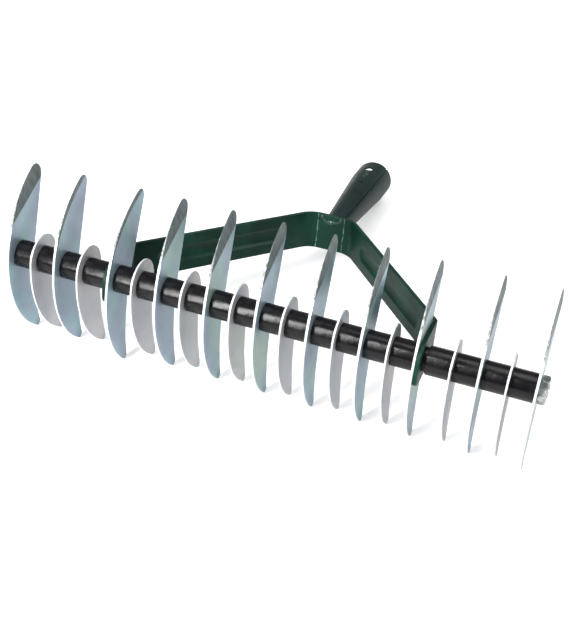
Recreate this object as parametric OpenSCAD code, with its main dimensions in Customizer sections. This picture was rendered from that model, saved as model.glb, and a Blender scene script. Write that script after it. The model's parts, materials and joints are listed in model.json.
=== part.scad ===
// Lawn dethatcher head.
// Crescent blades, long and short in turn, are threaded on a round axle with a tube spacer between
// each pair. A flat steel bow holds the axle by its two tabs and carries the handle socket.
// X runs along the axle, +Y points back along the handle and +Z is up as the head lies on the ground.
// The origin is the middle of the straight part of the handle bore. All sizes are in millimetres.

/* [Blade row] */
// distance from one blade to the next
blade_pitch = 18.5; // [15:0.5:25]
// number of long blades, an odd number
long_count = 11; // [7:2:15]
// sheet thickness of the long blades
long_t = 1.6; // [1.2:0.1:3]
// sheet thickness of the short blades
short_t = 1.2; // [1:0.1:3]
// radius of the axle hole in a blade
blade_hole_r = 5.1; // [5.05:0.01:5.3]
// how far the lower ends of the short blades are swung back from the long ones, degrees
short_swing = 3.7; // [0:0.1:6]

// how far the row of blades is wound up on the axle, from its middle to each end, degrees
row_twist = 3; // [0:0.5:5]
// the one blade that has slipped, counted from the left end
slipped_place = 5; // [1:1:21]
// how far the heel of the slipped blade is swung back, degrees
slipped_swing = -4.5; // [-6:0.5:6]

/* [Blade outline] */
// radius of the convex front edge
front_r = 77.7; // [70:0.1:90]
// middle of the front edge's circle: distance behind the axle
front_y = 56.9; // [50:0.1:70]
// middle of the front edge's circle: height against the axle
front_z = -22; // [-35:0.1:-15]
// distance from the axle to the straight upper half of the rear edge
rear_offset = 18.3; // [14:0.1:22]
// how far above the axle's level the straight half starts, along the rear edge
rear_start = 6.5; // [0:0.5:15]
// lean of the straight upper half of the rear edge, degrees from vertical
rear_lean = 28; // [15:0.5:32]
// radius of the hollow lower half of the rear edge
rear_r = 132; // [110:1:400]
// rounding of the lower end
heel_r = 3.2; // [2:0.1:6]
// rounding of the upper tip of a long blade
tip_r = 7; // [2:0.1:8]
// where the round top of a short blade sits along the rear edge
stub_shift = -5.5; // [-12:0.1:0]

/* [Ground tip] */
// length of the ground bevel along the front edge
bevel_front = 46; // [20:1:60]
// length of the ground bevel along the rear edge
bevel_rear = 3; // [1:1:20]
// how deep the bevel cuts at the front edge
bevel_slope = 6.5; // [4:0.5:8]
// long blades whose bevel is on the left face, counted from the left end
left_bevels = [2, 3];

/* [Axle, spacers and fasteners] */
// radius of the axle
axle_r = 5; // [4:0.1:6]
// length of axle that stands out of each nut
axle_proud = 0.5; // [0:0.5:5]
// outside radius of the spacers
spacer_r = 10; // [8:0.1:12]
// inside radius of the spacers
spacer_bore_r = 5.2; // [5.05:0.05:6]
// rounding of the spacer ends
spacer_edge = 0.4; // [0.2:0.1:1]
// thickness of the washer on the outer side of each tab
washer_t = 2.4; // [1:0.1:4]
// outside radius of the washers
washer_r = 8.5; // [8:0.1:10]
// width of the nuts across flats
nut_flats = 17; // [16:1:19]
// thickness of the nuts
nut_t = 5.5; // [5:0.1:10]

/* [Bow] */
// width of the flat bar
bow_w = 30; // [30:0.5:40]
// thickness of the flat bar
bow_t = 3; // [2:0.1:5]
// distance from the axle to the middle of the bar at its flat crown
bow_reach = 146.5; // [120:1:180]
// half the distance between the two crown corners
crown_half = 16.7; // [12:0.5:30]
// bend radius of the crown corners, to the middle of the bar
crown_bend_r = 18; // [8:1:30]
// distance from the axle to the corner between arm and tab
tab_corner = 27.5; // [20:0.5:35]
// bend radius between arm and tab, to the middle of the bar
tab_bend_r = 3; // [2:0.5:10]
// how far the tabs reach past the axle
tab_tail = 17; // [12:0.5:25]
// corner rounding of the tabs at the bar's upper edge
tab_top_r = 15; // [2:0.5:15]
// corner rounding of the tabs at the bar's lower edge
tab_bottom_r = 8; // [2:0.5:15]
// radius of the axle holes in the tabs
tab_hole_r = 5.08; // [5.02:0.01:5.1]
// gap between each tab and the long blade and washer beside it
tab_gap = 0.05; // [0.02:0.01:0.2]
// how far the bow slopes down towards the handle as the head lies on the ground, degrees
bow_tilt = 12.2; // [0:0.1:30]

/* [Pressed grooves] */
// radius of the pressed groove's round section
groove_r = 12; // [6:0.1:14]
// depth of the groove
groove_deep = 2; // [1:0.1:2.5]
// metal left under the groove
groove_wall = 2.4; // [1:0.1:3]
// where the groove starts, from the crown corner along the arm
groove_start = 30; // [15:1:50]
// where the groove ends, from the tab corner along the arm
groove_end = 26; // [15:1:50]

/* [Handle socket] */
// length of the socket
socket_len = 119; // [90:0.5:150]
// length of the straight part at the mouth
socket_straight = 20; // [15:1:60]
// inside radius of the straight part
socket_bore_r = 14.1; // [12:0.1:18]
// inside radius at the welded end
socket_base_r = 7.1; // [6:0.1:14]
// sheet thickness of the socket
socket_t = 1.5; // [1:0.1:2.5]
// width of the seam where the socket's sheet meets itself
seam_w = 0.7; // [0.3:0.1:2]
// depth of the seam
seam_deep = 0.9; // [0.3:0.1:1.2]
// position of the seam round the socket, degrees from the top
seam_turn = 42; // [0:1:90]
// radius of the handle screw hole
screw_hole_r = 3.3; // [2:0.1:4]
// distance from the mouth to the screw hole
screw_hole_in = 16.5; // [8:0.5:25]
// position of the screw hole and the nick round the socket, degrees from the top
hole_turn = -5.5; // [-30:0.5:30]
// distance from the mouth to the pressed nick
nick_in = 45.5; // [25:0.5:60]
// width of the nick across the socket
nick_w = 7; // [4:0.5:12]
// length of the nick along the socket
nick_len = 2.2; // [0.8:0.1:3]
// radius of the weld bead round the foot of the socket
weld_r = 2.6; // [1.5:0.1:4]

/* [Hidden] */
$fn = 96;
eps = 0.01;
far = 300;
bend_steps = 20;
front_steps = 48;
heel_steps = 10;
rear_steps = 16;
top_steps = 16;
nick_steps = 8;

long_mid = (long_count + 1) / 2;
short_count = long_count - 1;
blade_total = long_count + short_count;
spacer_total = blade_total - 1;
mid_place = long_mid * 2 - 1;
spacer_len = blade_pitch - (long_t + short_t) / 2;

// the tabs stand between the third and fourth blades from each end
tab_room = washer_t + bow_t + 2 * tab_gap;
blades_inside = mid_place - 5;
tab_inner_x = blades_inside * blade_pitch + long_t / 2 + tab_gap;
tab_x = tab_inner_x + bow_t / 2;
nut_x = (mid_place - 1) * blade_pitch + tab_room + long_t / 2;
axle_half = nut_x + nut_t + axle_proud;

// blade outline, drawn as [distance behind the axle, height]
front_c = [front_y, front_z];
rear_dir = [sin(rear_lean), cos(rear_lean)];
rear_out = [cos(rear_lean), -sin(rear_lean)];
rear_pt = rear_offset * rear_out + rear_start * rear_dir;
rear_c = rear_pt + rear_r * rear_out;
front_along = (front_c - rear_pt) * rear_dir;
front_across = (front_c - rear_pt) * rear_out;
tip_shift = front_along + sqrt(pow(front_r - tip_r, 2) - pow(front_across + tip_r, 2));
tip_c = on_blade(tip_r, tip_shift);
stub_r = (front_r * front_r - front_across * front_across - pow(stub_shift - front_along, 2))
    / (2 * (front_r + front_across));
stub_c = on_blade(stub_r, stub_shift);
heel_c = below(front_c, front_r - heel_r, rear_c, rear_r + heel_r);

// bow centre line, drawn as [X, distance from the axle]
arm_run = tab_x - crown_half;
arm_rise = bow_reach - tab_corner;
arm_len = norm([arm_run, arm_rise]);
arm_turn = atan2(arm_rise, arm_run);
tab_turn = 90 - arm_turn;
crown_set = crown_bend_r * tan(arm_turn / 2);
tab_set = tab_bend_r * tan(tab_turn / 2);

// socket
socket_r = socket_bore_r + socket_t;
socket_cone = socket_len - socket_straight;
foot_sunk = 3;
nick_hollow = 1 - 2 * nick_len / nick_w;

// the origin is the middle of the straight part of the handle bore
bore_mid = bow_reach + bow_t / 2 + socket_len - socket_straight / 2;
axle_place = [0, -bore_mid * cos(bow_tilt), bore_mid * sin(bow_tilt)];

steel_colour = [0.66, 0.69, 0.71];
green_colour = [0.08, 0.2, 0.16];
black_colour = [0.06, 0.06, 0.07];

function numbered(stem, i) = str(stem, i < 10 ? "0" : "", i);

// the middle of a circle of radius r that touches the straight rear edge, shifted along it
function on_blade(r, shift) = rear_pt - r * rear_out + shift * rear_dir;

// the lower of the two points at distance ra from a and rb from b
function below(a, ra, b, rb) =
    let (
        gap = norm(b - a),
        run = (gap * gap + ra * ra - rb * rb) / (2 * gap),
        side = sqrt(ra * ra - run * run),
        dir = (b - a) / gap
    )
    a + run * dir + side * [dir[1], -dir[0]];

// how far a blade's heel is swung back: the left end of the row back, the right end forward
function swing(place) =
    place == slipped_place ? slipped_swing : row_twist * (mid_place - place) / (mid_place - 1);

// points on a circle of radius r round c, from angle a to angle b
function arc(c, r, a, b, steps = bend_steps) =
    [for (i = [0:steps]) let (t = a + (b - a) * i / steps) c + r * [cos(t), sin(t)]];

function without_ends(points) = [for (i = [1:len(points) - 2]) points[i]];
function without_last(points) = [for (i = [0:len(points) - 2]) points[i]];

// the direction from one point to another, from 0 to 360 degrees
function angle_to(from, to) = (360 + atan2(to[1] - from[1], to[0] - from[0])) % 360;

// the blade's outline: front edge down to the heel, round it, up the hollow rear edge and round the
// top end, whose middle is top_c
function blade_points(top_c, top_r) =
    let (
        top_turn = angle_to(front_c, top_c),
        heel_turn = angle_to(front_c, heel_c),
        rear_turn = angle_to(rear_c, heel_c)
    )
    concat(
        arc(front_c, front_r, top_turn, heel_turn, front_steps),
        without_ends(arc(heel_c, heel_r, heel_turn, rear_turn + 180, heel_steps)),
        arc(rear_c, rear_r, rear_turn, 180 - rear_lean, rear_steps),
        without_last(arc(top_c, top_r, -rear_lean, top_turn, top_steps))
    );

// position of a blade along the axle; place 1 is the left end
function blade_x(place) =
    let (k = place - mid_place)
    k * blade_pitch + (abs(k) > blades_inside ? sign(k) * tab_room : 0);

// sheet thickness of a blade: odd places are long blades
function sheet(place) = place % 2 == 1 ? long_t : short_t;

// moves what is drawn round the axle to its place against the handle bore
module from_axle() {
    translate(axle_place)
        children();
}

// turns a drawing of [distance behind the axle, height] into a sheet across the axle
module across_axle(x, thick) {
    translate([x - thick / 2, 0, 0])
        rotate([90, 0, 90])
            linear_extrude(thick)
                children();
}

// a round rod along X from x to x + len
module along_axle(x, len, r) {
    translate([x, 0, 0])
        rotate([0, 90, 0])
            cylinder(r = r, h = len);
}

// the wedge ground off one face of a long blade, along the front edge of its tip
module bevel_cut() {
    rear_end = tip_c + tip_r * rear_out - bevel_rear * rear_dir;
    front_dir = tip_c - front_c;
    drop = bevel_front / front_r * 180 / PI;
    front_turn = atan2(front_dir[1], front_dir[0]) + drop;
    front_end = front_c + front_r * [cos(front_turn), sin(front_turn)];
    line = rear_end - front_end;
    translate([long_t / 2, front_end[0], front_end[1]])
        rotate([atan2(line[1], line[0]), 0, 0])
            rotate([0, -bevel_slope, 0])
                translate([0, -far / 2, 0])
                    cube([far, far, far]);
}

module long_blade(place) {
    left_faced = len(search((place + 1) / 2, left_bevels)) > 0;
    color(steel_colour)
        from_axle()
            translate([blade_x(place), 0, 0])
                rotate([swing(place), 0, 0])
                    mirror([left_faced ? 1 : 0, 0, 0])
                        difference() {
                            across_axle(0, long_t)
                                polygon(blade_points(tip_c, tip_r));
                            bevel_cut();
                            along_axle(-long_t, 2 * long_t, blade_hole_r);
                        }
}

module short_blade(place) {
    color(steel_colour)
        from_axle()
            translate([blade_x(place), 0, 0])
                rotate([short_swing + swing(place), 0, 0])
                    difference() {
                        across_axle(0, short_t)
                            polygon(blade_points(stub_c, stub_r));
                        along_axle(-short_t, 2 * short_t, blade_hole_r);
                    }
}

// the spacer to the right of a blade; beside a tab it stands on the outer side
module spacer(place) {
    left = blade_x(place) + sheet(place) / 2;
    right = blade_x(place + 1) - sheet(place + 1) / 2;
    start = place < mid_place ? left : right - spacer_len;
    color(black_colour)
        from_axle()
            translate([start, 0, 0])
                rotate([0, 90, 0])
                    rotate_extrude()
                        polygon([
                            [spacer_bore_r, 0],
                            [spacer_r - spacer_edge, 0],
                            [spacer_r, spacer_edge],
                            [spacer_r, spacer_len - spacer_edge],
                            [spacer_r - spacer_edge, spacer_len],
                            [spacer_bore_r, spacer_len]
                        ]);
}

module axle() {
    chamfer = 0.8;
    color(steel_colour)
        from_axle()
            translate([-axle_half, 0, 0])
                rotate([0, 90, 0])
                    rotate_extrude()
                        polygon([
                            [0, 0],
                            [axle_r - chamfer, 0],
                            [axle_r, chamfer],
                            [axle_r, 2 * axle_half - chamfer],
                            [axle_r - chamfer, 2 * axle_half],
                            [0, 2 * axle_half]
                        ]);
}

// one hexagon nut, its faces chamfered to a cone
module hex_nut() {
    corner_r = nut_flats / sqrt(3);
    cone_r = nut_flats / 2 * 0.97;
    rise = (corner_r - cone_r) * tan(30);
    difference() {
        intersection() {
            rotate([0, 90, 0])
                cylinder(r = corner_r, h = nut_t, $fn = 6);
            rotate([0, 90, 0])
                rotate_extrude()
                    polygon([
                        [0, 0],
                        [cone_r, 0],
                        [corner_r + eps, rise],
                        [corner_r + eps, nut_t - rise],
                        [cone_r, nut_t],
                        [0, nut_t]
                    ]);
        }
        along_axle(-1, nut_t + 2, axle_r + 0.02);
    }
}

module end_nuts() {
    color(steel_colour)
        from_axle()
            for (side = [-1, 1])
                translate([side * nut_x, 0, 0])
                    mirror([side < 0 ? 1 : 0, 0, 0])
                        rotate([12, 0, 0])
                            hex_nut();
}

module tab_washers() {
    start = tab_inner_x + bow_t + tab_gap;
    color(black_colour)
        from_axle()
            for (side = [-1, 1])
                mirror([side < 0 ? 1 : 0, 0, 0])
                    difference() {
                        along_axle(start, washer_t, washer_r);
                        along_axle(start - eps, washer_t + 2 * eps, spacer_bore_r);
                    }
}

// tips the bow's own plane, X by distance from the axle, to how the head lies
module in_bow_plane() {
    rotate([-bow_tilt, 0, 0])
        children();
}

// one side of the bar's right half, from the tab's end to the crown, off its centre line by off
function half_edge(off) = concat(
    [[tab_x + off, -tab_tail]],
    arc([tab_x - tab_bend_r, tab_corner - tab_set], tab_bend_r + off, 0, tab_turn),
    arc([crown_half - crown_set, bow_reach - crown_bend_r], crown_bend_r + off, tab_turn, 90)
);

function whole_edge(off) =
    let (half = half_edge(off))
    concat(half, [for (i = [len(half) - 1:-1:0]) [-half[i][0], half[i][1]]]);

module bar() {
    outer = whole_edge(bow_t / 2);
    inner = whole_edge(-bow_t / 2);
    translate([0, 0, -bow_w / 2])
        linear_extrude(bow_w)
            polygon(concat(outer, [for (i = [len(inner) - 1:-1:0]) inner[i]]));
}

// a capsule along an arm's inner face, for the groove and the rib behind it
module arm_capsule(r) {
    from = groove_start;
    to = arm_len - groove_end;
    sunk = groove_r - groove_deep + bow_t / 2;
    translate([crown_half, bow_reach, 0])
        rotate(-arm_turn)
            translate([from, -sunk, 0]) {
                rotate([0, 90, 0])
                    cylinder(r = r, h = to - from);
                sphere(r = r);
                translate([to - from, 0, 0])
                    sphere(r = r);
            }
}

// the side of an arm that faces away from the blades
module outside_arm() {
    translate([crown_half, bow_reach, -bow_w / 2])
        rotate(-arm_turn)
            cube([arm_len, bow_w, bow_w]);
}

module arm_rib() {
    intersection() {
        arm_capsule(groove_r + groove_wall);
        outside_arm();
    }
}

// trims one corner of both tabs round to radius r; edge is 1 for the upper and -1 for the lower one
module tab_corner_cut(edge, r) {
    translate([-far, -tab_tail, edge * bow_w / 2])
        rotate([0, 90, 0])
            difference() {
                translate([-r, -r, 0])
                    cube([2 * r, 2 * r, 2 * far]);
                translate([edge * r, r, -1])
                    cylinder(r = r, h = 2 * far + 2);
            }
}

module bow() {
    color(green_colour)
        from_axle()
            in_bow_plane()
                difference() {
                    union() {
                        bar();
                        arm_rib();
                        mirror([1, 0, 0])
                            arm_rib();
                    }
                    arm_capsule(groove_r);
                    mirror([1, 0, 0])
                        arm_capsule(groove_r);
                    tab_corner_cut(1, tab_top_r);
                    tab_corner_cut(-1, tab_bottom_r);
                    along_axle(-far, 2 * far, tab_hole_r);
                }
}

// places the socket: its own Y runs along it from the bar's outer face, Z is its top
module at_socket() {
    in_bow_plane()
        translate([0, bow_reach + bow_t / 2, 0])
            children();
}

// a round body along the socket's axis, drawn as [radius, distance]
module socket_turned(outline) {
    rotate([-90, 0, 0])
        rotate_extrude()
            polygon(outline);
}

// everything on the blade side of a face that stands across the bow's own plane
module inside_face(face) {
    in_bow_plane()
        translate([-far / 2, face - far, -far / 2])
            cube([far, far, far]);
}

// the groove along the socket's outside where its rolled sheet meets itself
module seam_cut() {
    out = socket_t - seam_deep;
    rotate([90, 0, 90])
        translate([0, 0, -seam_w / 2])
            linear_extrude(seam_w)
                polygon([
                    [0, socket_base_r + out],
                    [socket_cone, socket_bore_r + out],
                    [socket_len + 1, socket_bore_r + out],
                    [socket_len + 1, 2 * socket_r],
                    [0, 2 * socket_r]
                ]);
}

// a crescent, its hump towards the mouth
module nick(high) {
    linear_extrude(high)
        polygon(concat(
            arc([0, 0], nick_w / 2, 0, 180, nick_steps),
            without_ends([for (p = arc([0, 0], nick_w / 2, 180, 0, nick_steps)) [p[0], p[1] * nick_hollow]])
        ));
}

module handle_socket() {
    hole_high = 2 * socket_r;
    color(green_colour)
        from_axle()
            difference() {
                at_socket()
                    difference() {
                        socket_turned([
                            [socket_base_r, -foot_sunk],
                            [socket_base_r + socket_t, -foot_sunk],
                            [socket_r, socket_cone],
                            [socket_r, socket_len],
                            [socket_bore_r, socket_len],
                            [socket_bore_r, socket_cone]
                        ]);
                        rotate([0, seam_turn, 0])
                            seam_cut();
                        rotate([0, hole_turn, 0]) {
                            translate([0, socket_len - screw_hole_in, 0])
                                cylinder(r = screw_hole_r, h = hole_high);
                            translate([0, socket_len - nick_in, 0])
                                nick(hole_high);
                        }
                    }
                inside_face(bow_reach + bow_t / 2);
            }
}

module socket_weld() {
    color(green_colour)
        from_axle()
            difference() {
                at_socket()
                    difference() {
                        rotate([-90, 0, 0])
                            rotate_extrude()
                                translate([socket_base_r + socket_t, 0])
                                    circle(weld_r);
                        socket_turned([
                            [0, -foot_sunk],
                            [socket_base_r + socket_t, -foot_sunk],
                            [socket_r, socket_cone],
                            [0, socket_cone]
                        ]);
                    }
                inside_face(bow_reach + bow_t / 2);
            }
}

for (i = [1:long_count])
    long_blade(2 * i - 1);
for (i = [1:short_count])
    short_blade(2 * i);
for (i = [1:spacer_total])
    spacer(i);
axle();
end_nuts();
tab_washers();
bow();
handle_socket();
socket_weld();
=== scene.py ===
"""Lawn dethatcher head: materials, softened edges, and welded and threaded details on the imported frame."""

import json
import math

import bmesh
import bpy
from mathutils import Matrix, Vector, noise


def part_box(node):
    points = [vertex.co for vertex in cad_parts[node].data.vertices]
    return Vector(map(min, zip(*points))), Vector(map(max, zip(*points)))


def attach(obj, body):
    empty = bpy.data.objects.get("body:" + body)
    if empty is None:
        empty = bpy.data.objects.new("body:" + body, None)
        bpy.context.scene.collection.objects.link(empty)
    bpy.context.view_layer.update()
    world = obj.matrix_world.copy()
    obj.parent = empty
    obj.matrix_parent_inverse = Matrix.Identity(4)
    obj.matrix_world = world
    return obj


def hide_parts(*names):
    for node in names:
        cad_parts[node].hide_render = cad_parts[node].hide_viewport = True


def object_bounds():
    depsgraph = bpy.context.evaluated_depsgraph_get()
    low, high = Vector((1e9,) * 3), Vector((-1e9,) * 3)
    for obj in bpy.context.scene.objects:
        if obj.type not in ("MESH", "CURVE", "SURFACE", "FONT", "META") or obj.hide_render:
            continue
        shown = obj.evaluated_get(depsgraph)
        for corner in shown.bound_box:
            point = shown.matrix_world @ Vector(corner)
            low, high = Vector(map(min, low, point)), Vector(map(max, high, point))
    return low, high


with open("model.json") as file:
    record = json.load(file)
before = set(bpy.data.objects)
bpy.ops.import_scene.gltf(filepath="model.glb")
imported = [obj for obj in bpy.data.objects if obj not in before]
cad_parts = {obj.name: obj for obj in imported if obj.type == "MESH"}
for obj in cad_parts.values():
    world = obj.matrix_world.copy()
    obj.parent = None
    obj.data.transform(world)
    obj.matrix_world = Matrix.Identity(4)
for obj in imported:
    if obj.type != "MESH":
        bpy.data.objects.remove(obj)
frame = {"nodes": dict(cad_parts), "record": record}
cad_low, cad_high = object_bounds()

MM = 0.001
FRAME_BODY = "handle_frame"
REEL_BODY = "blade_reel"


# ---------------------------------------------------------------- sizes read from the frame
record = frame["record"]
bore_mount = next(m for m in record["mounts"] if m["name"] == "handle_bore")
socket_dir = Vector(bore_mount["axis"]).normalized()
socket_up = Vector((1, 0, 0)).cross(socket_dir).normalized()
if socket_up.z < 0:
    socket_up = -socket_up
floor_z = cad_low.z
axle_low, axle_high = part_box("axle")
axle_mid = (axle_low + axle_high) / 2
axle_r = (axle_high.z - axle_low.z) / 2
nut_low, nut_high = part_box("end_nuts")
nut_out = nut_high.x
long_blades = sorted(n for n in frame["nodes"] if n.startswith("long_blade"))
short_blades = sorted(n for n in frame["nodes"] if n.startswith("short_blade"))
spacers = sorted(n for n in frame["nodes"] if n.startswith("spacer"))
weld_low, weld_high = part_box("socket_weld")
weld_outer_r = (weld_high.x - weld_low.x) / 2
bore_in = bore_mount["dims"]["length_mm"] * MM / 2

# ---------------------------------------------------------------- sizes of the details
# the long blades' front edge: its circle's radius, and its middle behind and above the axle
front_r = 77.7 * MM
front_y = 56.9 * MM
front_z = -22 * MM
# blades ground in a narrow strip down the front edge, and how far each heel is swung back, degrees
narrow_ground = {"long_blade_02": 2.4, "long_blade_03": -4.5}
strip_width = 5 * MM
# height above the axle from which the sheared edge is painted dark, as a dark reflection beside the bevel
bevel_foot = 26 * MM
# distance of the crown's painted highlight lines, on its bends, from the middle
bend_highlight_x = 10.8 * MM
weld_size = 2.6 * MM
bow_half_width = 15 * MM
bow_t = 3 * MM
socket_len = 119 * MM
socket_foot = Vector(bore_mount["pos_m"]) - socket_dir * (socket_len - bore_in)
crown_inner = socket_foot - socket_dir * bow_t
thread_pitch = 1.5 * MM
# how much brighter the camera sees the floor than reflections do
camera_glow = 0.35


# ---------------------------------------------------------------- node helpers
class Shader:
    """A material's node tree, with short calls to add and join nodes."""

    def __init__(self, name):
        self.material = bpy.data.materials.new(name)
        self.material.use_nodes = True
        self.nodes = self.material.node_tree.nodes
        self.links = self.material.node_tree.links
        self.surface = self.nodes["Principled BSDF"]
        place = self.nodes.new("ShaderNodeMapping")
        place.inputs["Location"].default_value = -axle_mid
        self.links.new(self.nodes.new("ShaderNodeTexCoord").outputs["Object"], place.inputs["Vector"])
        self.coords = place.outputs["Vector"]
        geometry = self.nodes.new("ShaderNodeNewGeometry")
        self.true_normal = geometry.outputs["True Normal"]
        self.pointiness = geometry.outputs["Pointiness"]

    def put(self, value, socket):
        if isinstance(value, bpy.types.NodeSocket):
            self.links.new(value, socket)
        else:
            socket.default_value = value

    def set(self, **inputs):
        for name, value in inputs.items():
            self.put(value, self.surface.inputs[name.replace("_", " ")])

    def scaled(self, x, y, z, source=None):
        node = self.nodes.new("ShaderNodeMapping")
        node.inputs["Scale"].default_value = (x, y, z)
        self.links.new(source or self.coords, node.inputs["Vector"])
        return node.outputs["Vector"]

    def split(self, vector):
        node = self.nodes.new("ShaderNodeSeparateXYZ")
        self.links.new(vector, node.inputs[0])
        return node.outputs

    def noise(self, scale, detail=3.0, rough=0.5, vector=None, distortion=0.0):
        node = self.nodes.new("ShaderNodeTexNoise")
        node.inputs["Scale"].default_value = scale
        node.inputs["Detail"].default_value = detail
        node.inputs["Roughness"].default_value = rough
        node.inputs["Distortion"].default_value = distortion
        self.links.new(vector or self.coords, node.inputs["Vector"])
        return node.outputs["Fac"]

    def cells(self, scale, vector=None):
        node = self.nodes.new("ShaderNodeTexVoronoi")
        node.inputs["Scale"].default_value = scale
        self.links.new(vector or self.coords, node.inputs["Vector"])
        return node.outputs["Distance"]

    def math(self, operation, a, b=0.0, clamp=False):
        node = self.nodes.new("ShaderNodeMath")
        node.operation = operation
        node.use_clamp = clamp
        self.put(a, node.inputs[0])
        self.put(b, node.inputs[1])
        return node.outputs[0]

    def span(self, value, low, high, to_low=0.0, to_high=1.0):
        node = self.nodes.new("ShaderNodeMapRange")
        node.interpolation_type = "SMOOTHSTEP"
        self.put(value, node.inputs["Value"])
        node.inputs["From Min"].default_value = low
        node.inputs["From Max"].default_value = high
        node.inputs["To Min"].default_value = to_low
        node.inputs["To Max"].default_value = to_high
        return node.outputs["Result"]

    def ramp(self, value, *stops):
        node = self.nodes.new("ShaderNodeValToRGB")
        points = node.color_ramp.elements
        while len(points) < len(stops):
            points.new(0.5)
        for point, (place, colour) in zip(points, stops):
            point.position = place
            point.color = (*colour, 1.0)
        self.put(value, node.inputs["Fac"])
        return node.outputs["Color"]

    def mix(self, factor, a, b, blend="MIX"):
        node = self.nodes.new("ShaderNodeMix")
        node.data_type = "RGBA"
        node.blend_type = blend
        self.put(factor, node.inputs["Factor"])
        self.put(colour4(a), node.inputs[6])
        self.put(colour4(b), node.inputs[7])
        return node.outputs[2]

    def bump(self, height, distance, strength=1.0, normal=None):
        node = self.nodes.new("ShaderNodeBump")
        node.inputs["Strength"].default_value = strength
        node.inputs["Distance"].default_value = distance
        self.put(height, node.inputs["Height"])
        if normal:
            self.links.new(normal, node.inputs["Normal"])
        return node.outputs["Normal"]


def colour4(value):
    if isinstance(value, tuple):
        return (*value, 1.0)
    return value


def between(shader, value, low, high, soft):
    """1 where value lies between low and high, with a soft border."""
    rise = shader.span(value, low - soft, low + soft)
    fall = shader.span(value, high - soft, high + soft, 1.0, 0.0)
    return shader.math("MULTIPLY", rise, fall)


# ---------------------------------------------------------------- materials
def narrow_grinding(s, facing, swing):
    """A thin ground strip down the front edge of a blade whose heel is swung back by swing degrees."""
    y, z = s.split(s.coords)[1:3]
    turn = math.radians(swing)
    centre_y = front_y * math.cos(turn) - front_z * math.sin(turn)
    centre_z = front_y * math.sin(turn) + front_z * math.cos(turn)
    off_y = s.math("SUBTRACT", y, centre_y)
    off_z = s.math("SUBTRACT", z, centre_z)
    square = s.math("ADD", s.math("MULTIPLY", off_y, off_y), s.math("MULTIPLY", off_z, off_z))
    from_edge = s.math("SUBTRACT", front_r, s.math("SQRT", square))
    width = s.span(z, 2 * MM, 50 * MM, 0.0, strip_width)
    strip = s.span(s.math("SUBTRACT", from_edge, width), -0.4 * MM, 0.4 * MM, 1.0, 0.0)
    return s.math("MULTIPLY", strip, s.span(facing, 0.995, 0.999))


def blade_material(name, tinted, swing=None):
    """Zinc-plated sheet. Faces are tinted and lightly grained, ground bevels are dark and scratched,
    and the sheared edges are bright with tear marks across the sheet. A blade given its swing also
    has the narrow ground strip."""
    s = Shader(name)
    facing = s.math("ABSOLUTE", s.split(s.true_normal)[0])
    z = s.split(s.coords)[2]

    drift = s.noise(14, 2, 0.45, s.scaled(2.0, 0.9, 0.5), 0.6)
    patch = s.noise(30, 2, 0.5, s.scaled(2.4, 1.0, 0.7), 0.8)
    place = s.math("ADD", drift, s.math("MULTIPLY", s.math("SUBTRACT", patch, 0.5), 0.35))
    if tinted:
        face = s.ramp(
            place,
            (0.30, (0.37, 0.58, 0.57)),
            (0.42, (0.35, 0.49, 0.56)),
            (0.50, (0.37, 0.43, 0.53)),
            (0.57, (0.35, 0.50, 0.53)),
            (0.66, (0.42, 0.55, 0.49)),
            (0.78, (0.48, 0.47, 0.48)),
        )
    else:
        face = s.ramp(
            place,
            (0.30, (0.58, 0.58, 0.58)),
            (0.50, (0.64, 0.62, 0.63)),
            (0.70, (0.60, 0.59, 0.60)),
        )
    grain = s.noise(420, 4, 0.65, s.scaled(1, 0.35, 1.6))
    face = s.mix(s.span(grain, 0.45, 0.85, 0.0, 0.06), face, (0.66, 0.68, 0.70))
    stain = s.noise(48, 4, 0.55, s.scaled(3, 1, 1))
    face = s.mix(s.span(stain, 0.60, 0.80, 0.0, 0.12), face, (0.25, 0.26, 0.28))

    # the ground bevel: coarse scratches that run up the blade
    scratches = s.noise(500, 3, 0.6, s.scaled(1, 1.0, 0.15))
    ground = s.ramp(
        scratches,
        (0.25, (0.09, 0.11, 0.11)),
        (0.50, (0.17, 0.20, 0.20)),
        (0.80, (0.26, 0.29, 0.29)),
    )
    on_bevel = between(s, facing, 0.975, 0.9972, 0.0009)
    if swing is not None:
        on_bevel = s.math("MAXIMUM", on_bevel, narrow_grinding(s, facing, swing))

    # the sheared edge: fine lines straight through the sheet, and a painted dark reflection along it beside
    # the bevel
    tears = s.noise(900, 2, 0.5, s.scaled(0.05, 1, 1))
    edge = s.ramp(tears, (0.25, (0.62, 0.63, 0.64)), (0.5, (0.80, 0.80, 0.81)), (0.8, (0.90, 0.90, 0.91)))
    edge_reflection_noise = s.noise(420, 3, 0.6)
    dark_edge_reflection = s.ramp(
        edge_reflection_noise,
        (0.35, (0.10, 0.11, 0.11)),
        (0.55, (0.30, 0.31, 0.31)),
        (0.70, (0.62, 0.63, 0.64)),
    )
    # painted reflection: above bevel_foot the sheared edge is darkened to stand for its dark reflection
    edge = s.mix(s.span(z, bevel_foot - 3 * MM, bevel_foot + 2 * MM), edge, dark_edge_reflection)
    on_edge = s.span(facing, 0.70, 0.95, 1.0, 0.0)

    colour = s.mix(on_bevel, face, ground)
    colour = s.mix(on_edge, colour, edge)
    smooth = 0.34 if tinted else 0.42
    roughness = s.span(stain, 0.4, 0.7, smooth, smooth + 0.14)
    roughness = s.math("ADD", roughness, s.math("MULTIPLY", on_bevel, 0.18))
    roughness = s.math("ADD", roughness, s.math("MULTIPLY", on_edge, 0.15), clamp=True)
    height = s.math("ADD", s.math("MULTIPLY", grain, 0.5), s.math("MULTIPLY", on_bevel, scratches))
    fine = s.bump(height, 0.03 * MM, 0.35)
    waves = s.bump(s.noise(28, 1, 0.4, s.scaled(3, 1, 1)), 0.35 * MM, 0.5, fine)
    s.set(Base_Color=colour, Metallic=0.62, Roughness=roughness, Normal=waves)
    return s.material


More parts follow.
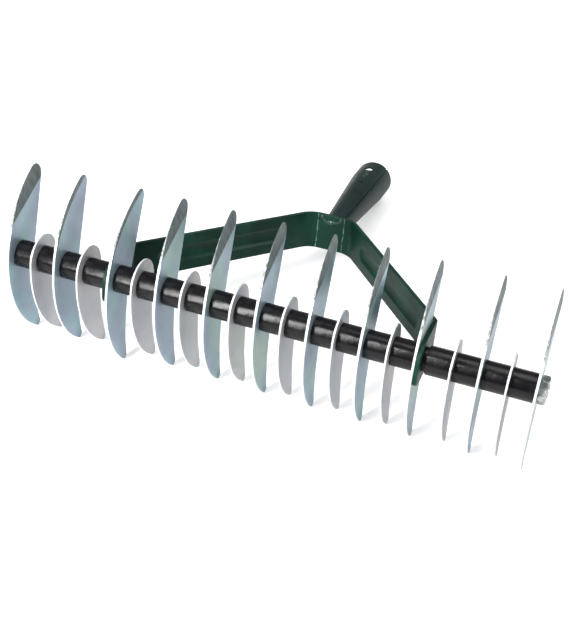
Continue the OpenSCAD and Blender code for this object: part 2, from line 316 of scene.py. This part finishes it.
def spacer_material():
    """Black painted tube: glossy, a little uneven along its length, with faint brown clouding painted into
    its colour as mottled reflection.
    """
    s = Shader("spacer_black_paint")
    cloud = s.noise(55, 4, 0.6, s.scaled(1, 1.6, 1.6), 0.5)
    # black paint of random tone; the brown at the ramp's upper end is a painted reflection of the
    # surroundings
    colour = s.ramp(
        cloud,
        (0.35, (0.001, 0.001, 0.002)),
        (0.62, (0.004, 0.003, 0.004)),
        (0.80, (0.018, 0.013, 0.012)),
    )
    dust = s.noise(700, 4, 0.7)
    colour = s.mix(s.span(dust, 0.64, 0.82, 0.0, 0.18), colour, (0.10, 0.09, 0.085))
    streak = s.noise(240, 3, 0.6, s.scaled(0.12, 1, 1))
    roughness = s.math("ADD", s.span(cloud, 0.3, 0.7, 0.16, 0.26), s.math("MULTIPLY", streak, 0.08))
    drawn = s.bump(streak, 0.05 * MM, 0.5)
    dents = s.bump(s.noise(150, 2, 0.5, s.scaled(1, 1.3, 1.3), 0.4), 0.30 * MM, 0.6, drawn)
    s.set(Base_Color=colour, Roughness=roughness, Normal=dents)
    s.set(Specular_IOR_Level=0.29)
    return s.material


def paint_material(name, dark, light, level, gloss):
    """Dipped paint on steel: fine orange peel, cloudy tone, pale lines on bends and worn corners."""
    s = Shader(name)
    tone = s.noise(26, 3, 0.5, s.scaled(1, 1, 1), 0.4)
    colour = s.ramp(tone, (0.32, dark), (0.70, light))
    specks = s.cells(900)
    colour = s.mix(s.span(specks, 0.05, 0.16, 0.5, 0.0), colour, tuple(4 * c + 0.01 for c in light))
    worn = s.math("MULTIPLY", s.span(s.pointiness, 0.52, 0.60), s.span(s.noise(300, 4, 0.7), 0.40, 0.62))
    colour = s.mix(s.math("MULTIPLY", worn, 0.55), colour, tuple(3.2 * c + 0.03 for c in light))
    peel = s.bump(s.noise(620, 2, 0.5), 0.05 * MM, 0.45)
    sag = s.bump(s.noise(60, 2, 0.5, s.scaled(1, 1, 0.5)), 0.35 * MM, 0.35, peel)
    s.set(Base_Color=colour, Roughness=s.span(tone, 0.3, 0.7, gloss, gloss + 0.12), Normal=sag)
    s.set(Specular_IOR_Level=level, Coat_Weight=0.07, Coat_Roughness=0.15)
    return s, colour


def bow_material():
    s, colour = paint_material("bow_green_paint", (0.002, 0.017, 0.011), (0.006, 0.037, 0.025), 0.11, 0.28)
    # painted highlight: two thin pale lines where the crown's flat meets its bends, on the inner face
    x = s.split(s.coords)[0]
    wander = s.math("MULTIPLY", s.math("SUBTRACT", s.noise(120, 3, 0.6), 0.5), 0.0022)
    off_centre = s.math("ABSOLUTE", s.math("ADD", x, wander))
    from_line = s.math("ABSOLUTE", s.math("SUBTRACT", off_centre, bend_highlight_x))
    bend_highlight = s.span(from_line, 0.0001, 0.0006, 1.0, 0.0)
    inner = s.span(s.split(s.true_normal)[1], -0.9, -0.7, 1.0, 0.0)
    highlight_gaps = s.span(s.noise(400, 3, 0.6), 0.35, 0.60)
    bend_highlight = s.math("MULTIPLY", s.math("MULTIPLY", bend_highlight, inner), highlight_gaps)
    # the pale lines are a painted highlight on the bends' edges, broken up by noise
    s.set(Base_Color=s.mix(s.math("MULTIPLY", bend_highlight, 0.8), colour, (0.16, 0.30, 0.25)))
    return s.material


def socket_material():
    s, _ = paint_material("socket_green_paint", (0.007, 0.015, 0.014), (0.015, 0.030, 0.028), 0.12, 0.36)
    return s.material


def weld_material():
    s, _ = paint_material("weld_green_paint", (0.005, 0.022, 0.017), (0.012, 0.048, 0.036), 0.5, 0.22)
    return s.material


def fastener_material():
    """Bright zinc on the nuts, washers and axle, with dull patches and tool marks."""
    s = Shader("fastener_bright_zinc")
    cloud = s.noise(180, 4, 0.6)
    colour = s.ramp(
        cloud,
        (0.30, (0.16, 0.17, 0.18)),
        (0.50, (0.44, 0.45, 0.45)),
        (0.75, (0.66, 0.66, 0.64)),
    )
    # darker in concave places: the hollows of the threads and inner corners
    hollow_darkening = s.span(s.pointiness, 0.40, 0.50, 0.7, 0.0)
    colour = s.mix(hollow_darkening, colour, (0.05, 0.05, 0.055))
    scratch = s.noise(1300, 3, 0.6, s.scaled(0.2, 1, 1))
    roughness = s.span(cloud, 0.3, 0.7, 0.18, 0.34)
    s.set(Base_Color=colour, Metallic=0.95, Roughness=roughness, Normal=s.bump(scratch, 0.03 * MM, 0.5))
    return s.material


def floor_material():
    """Pale paper, seen brighter by the camera than by reflections, as a cut-out studio floor is."""
    s = Shader("studio_floor")
    tone = s.noise(3, 2, 0.5)
    s.set(Base_Color=s.ramp(tone, (0.3, (0.80, 0.80, 0.80)), (0.7, (0.84, 0.84, 0.84))), Roughness=0.9)
    s.set(Specular_IOR_Level=0.1)
    glow = s.nodes.new("ShaderNodeLightPath").outputs["Is Camera Ray"]
    s.set(Emission_Color=(1.0, 1.0, 1.0, 1.0), Emission_Strength=s.math("MULTIPLY", glow, camera_glow))
    return s.material


# ---------------------------------------------------------------- pieces
def finish_as(node, material):
    """Gives a CAD node its material; its mesh and its sharp edges stay as they are."""
    piece = frame["nodes"][node]
    piece.data.materials.clear()
    piece.data.materials.append(material)
    return piece


def dress(node, material, edge_mm, segments=2, flat=True):
    """As finish_as, with modifiers that join the mesh's split corners and round its sharp edges."""
    piece = finish_as(node, material)
    weld = piece.modifiers.new("join_corners", "WELD")
    weld.merge_threshold = 0.002 * MM
    if flat:
        plain = piece.modifiers.new("merge_flats", "DECIMATE")
        plain.decimate_type = "DISSOLVE"
        plain.angle_limit = math.radians(0.4)
    if edge_mm:
        bevel = piece.modifiers.new("soft_edges", "BEVEL")
        bevel.width = edge_mm * MM
        bevel.segments = segments
        bevel.limit_method = "ANGLE"
        bevel.angle_limit = math.radians(28)
        bevel.use_clamp_overlap = False
        bevel.harden_normals = False
    smooth = piece.modifiers.new("steady_normals", "WEIGHTED_NORMAL")
    smooth.keep_sharp = True
    for polygon in piece.data.polygons:
        polygon.use_smooth = True
    return piece


def mesh_piece(name, bm, material, body):
    data = bpy.data.meshes.new(name)
    bm.normal_update()
    bm.to_mesh(data)
    bm.free()
    for polygon in data.polygons:
        polygon.use_smooth = True
    data.materials.append(material)
    piece = bpy.data.objects.new(name, data)
    bpy.context.scene.collection.objects.link(piece)
    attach(piece, body)
    return piece


def tube_grid(bm, rows, around, closed=True):
    """Skins a list of rings, each a list of points, and caps both ends."""
    rings = [[bm.verts.new(p) for p in row] for row in rows]
    for a, b in zip(rings, rings[1:]):
        for i in range(around):
            j = (i + 1) % around
            bm.faces.new((a[i], a[j], b[j], b[i]))
    if closed:
        bm.faces.new(list(reversed(rings[0])))
        bm.faces.new(rings[-1])


def threaded_axle():
    """The rod with a rolled thread on the stretch that each nut sits on and stands out of."""
    around = 48
    pitch = thread_pitch
    depth = thread_pitch / 2
    steps = 8
    chamfer = 0.8 * MM
    end = axle_high.x
    thread_from = nut_out - 6 * MM
    outer = axle_r - 0.01 * MM

    def thread_radius(x, turn):
        phase = (x / pitch - turn) % 1.0
        crest = abs(2 * phase - 1)
        return outer - depth * min(1.0, max(0.0, 1.15 - 1.3 * crest))

    spots = [-end + k * pitch / steps for k in range(int((end - thread_from) / (pitch / steps)))]
    spots = spots + [-spot for spot in reversed(spots)]
    rows = []
    for x in spots:
        into_end = end - abs(x)
        cap = outer - max(0.0, chamfer - into_end)
        row = []
        for i in range(around):
            turn = i / around
            run_in = min(1.0, max(0.0, (abs(x) - thread_from) / pitch))
            r = outer + (thread_radius(x, turn) - outer) * run_in
            r = min(r, cap)
            around_axle = Vector((0, math.cos(2 * math.pi * turn), math.sin(2 * math.pi * turn)))
            row.append(axle_mid + Vector((x, 0, 0)) + around_axle * r)
        rows.append(row)
    bm = bmesh.new()
    tube_grid(bm, rows, around)
    piece = mesh_piece("threaded_axle", bm, fastener_zinc, REEL_BODY)
    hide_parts("axle")
    return piece


def on_socket(along, turn, r):
    """A point at distance along the socket from the bow's crown, turned from its top, at radius r."""
    side = Vector((math.sin(turn), 0, 0)) + socket_up * math.cos(turn)
    return socket_foot + socket_dir * along + side * r


def weld_bead():
    """The weld round the socket's foot: overlapping ripples laid one after another."""
    around = 160
    across = 12
    ripples = 19
    foot_r = weld_outer_r - weld_size
    rows = []
    for i in range(around):
        turn = 2 * math.pi * i / around
        wave = abs(math.sin(ripples * turn / 2)) ** 0.6
        jitter = noise.noise(Vector((3 * math.cos(turn), 3 * math.sin(turn), 4.0)))
        size = weld_size * (0.80 + 0.14 * wave + 0.12 * jitter)
        row = []
        for j in range(across):
            slant = math.radians(-30 + 250 * j / (across - 1))
            row.append(on_socket(size * math.sin(slant) * 0.95, turn, foot_r + size * math.cos(slant)))
        rows.append(row)
    bm = bmesh.new()
    rings = [[bm.verts.new(p) for p in row] for row in rows]
    for i, ring in enumerate(rings):
        after = rings[(i + 1) % around]
        for j in range(across):
            k = (j + 1) % across
            bm.faces.new((ring[j], after[j], after[k], ring[k]))
    bmesh.ops.recalc_face_normals(bm, faces=bm.faces)
    piece = mesh_piece("weld_bead", bm, weld_green, FRAME_BODY)
    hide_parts("socket_weld")
    return piece


def crown_weld():
    """Lumps of weld that came through on the crown's inner face, under its top edge."""
    bm = bmesh.new()
    lumps = 9
    for i in range(lumps):
        t = i / (lumps - 1)
        across = (-7.5 + 15 * t) * MM
        drop = (2.2 + 5.2 * (1 - abs(2 * t - 1)) + 1.2 * math.sin(9 * t)) * MM
        size = (1.5 + 0.5 * math.sin(5 * i)) * MM
        centre = crown_inner + socket_up * (bow_half_width - drop) + Vector((across, 0, 0))
        lump = bmesh.ops.create_icosphere(bm, subdivisions=3, radius=size)
        for vertex in lump["verts"]:
            wobble = 1 + 0.22 * noise.noise(vertex.co * 900 + Vector((i, 0, 0)))
            flat = vertex.co - socket_dir * vertex.co.dot(socket_dir) * 0.45
            vertex.co = centre + flat * wobble
    piece = mesh_piece("crown_weld", bm, weld_green, FRAME_BODY)
    remesh = piece.modifiers.new("one_skin", "REMESH")
    remesh.mode = "VOXEL"
    remesh.voxel_size = 0.3 * MM
    remesh.use_smooth_shade = True
    return piece


# ---------------------------------------------------------------- build
long_zinc = blade_material("long_blade_zinc", True)
short_zinc = blade_material("short_blade_zinc", False)
spacer_black = spacer_material()
bow_green = bow_material()
socket_green = socket_material()
weld_green = weld_material()
fastener_zinc = fastener_material()

for node in long_blades:
    finish_as(node, long_zinc)
for node, swing in narrow_ground.items():
    finish_as(node, blade_material(node + "_zinc", True, swing))
for node in short_blades:
    finish_as(node, short_zinc)
for node in spacers:
    dress(node, spacer_black, 0.0, flat=False)
dress("bow", bow_green, 0.5, 3)
dress("handle_socket", socket_green, 0.3)
dress("end_nuts", fastener_zinc, 0.25)
dress("tab_washers", spacer_black, 0.25)
threaded_axle()
weld_bead()
crown_weld()


# ---------------------------------------------------------------- studio
def studio_floor():
    bm = bmesh.new()
    bmesh.ops.create_circle(bm, cap_ends=True, segments=96, radius=6.0)
    data = bpy.data.meshes.new("studio_floor")
    bm.to_mesh(data)
    bm.free()
    data.materials.append(floor_material())
    floor = bpy.data.objects.new("studio_floor", data)
    floor.location.z = floor_z - 0.2 * MM
    bpy.context.scene.collection.objects.link(floor)


def softbox(name, place, aim, width, height, power):
    light = bpy.data.lights.new(name, "AREA")
    light.shape = "RECTANGLE"
    light.size = width
    light.size_y = height
    light.energy = power
    lamp = bpy.data.objects.new(name, light)
    lamp.location = axle_mid + Vector(place)
    lamp.rotation_euler = (Vector(aim) - Vector(place)).to_track_quat("-Z", "Y").to_euler()
    bpy.context.scene.collection.objects.link(lamp)


def studio_sky():
    """An even pale sky, dimmer towards the horizon and dimmer still on the right."""
    world = bpy.data.worlds.new("studio_sky")
    bpy.context.scene.world = world
    world.use_nodes = True
    nodes = world.node_tree.nodes
    links = world.node_tree.links
    coords = nodes.new("ShaderNodeTexCoord")
    split = nodes.new("ShaderNodeSeparateXYZ")
    links.new(coords.outputs["Generated"], split.inputs[0])
    up = nodes.new("ShaderNodeMapRange")
    up.inputs["From Min"].default_value = -0.1
    up.inputs["From Max"].default_value = 0.8
    up.inputs["To Min"].default_value = 0.22
    up.inputs["To Max"].default_value = 0.45
    links.new(split.outputs["Z"], up.inputs["Value"])
    right = nodes.new("ShaderNodeMapRange")
    right.inputs["From Min"].default_value = -0.4
    right.inputs["From Max"].default_value = 0.9
    right.inputs["To Min"].default_value = 1.0
    right.inputs["To Max"].default_value = 0.45
    links.new(split.outputs["X"], right.inputs["Value"])
    product = nodes.new("ShaderNodeMath")
    product.operation = "MULTIPLY"
    links.new(up.outputs[0], product.inputs[0])
    links.new(right.outputs[0], product.inputs[1])
    links.new(product.outputs[0], nodes["Background"].inputs["Strength"])
    nodes["Background"].inputs["Color"].default_value = (0.97, 0.985, 1.0, 1.0)


def camera():
    """Looks down at the head from the front, a little from its right end."""
    azimuth = math.radians(20.71)
    elevation = math.radians(41.96)
    roll = math.radians(0.46)
    aim = axle_mid + Vector((13.7, 6.8, 0.0)) * MM
    distance = 0.782
    turn = Matrix.Rotation(azimuth, 4, "Z")
    tip = Matrix.Rotation(math.pi / 2 - elevation, 4, "X")
    lean = Matrix.Rotation(roll, 4, "Z")
    pose = turn @ tip @ lean
    data = bpy.data.cameras.new("camera")
    data.lens = 65.07
    data.sensor_width = 36
    data.clip_start = 0.05
    eye = bpy.data.objects.new("camera", data)
    eye.matrix_world = Matrix.Translation(aim + pose.to_3x3() @ Vector((0, 0, distance))) @ pose
    bpy.context.scene.collection.objects.link(eye)
    bpy.context.scene.camera = eye


studio_floor()
studio_sky()
softbox("key", place=(-0.47, -1.0, 0.95), aim=(0, 0, 0), width=0.26, height=1.3, power=34)
softbox("top", place=(0.5, 0.5, 1.8), aim=(0, 0, 0), width=1.6, height=1.2, power=20)
softbox("right", place=(1.7, -0.1, 0.5), aim=(0, 0, 0), width=1.0, height=1.0, power=14)
camera()
bpy.context.scene.view_settings.view_transform = "Standard"
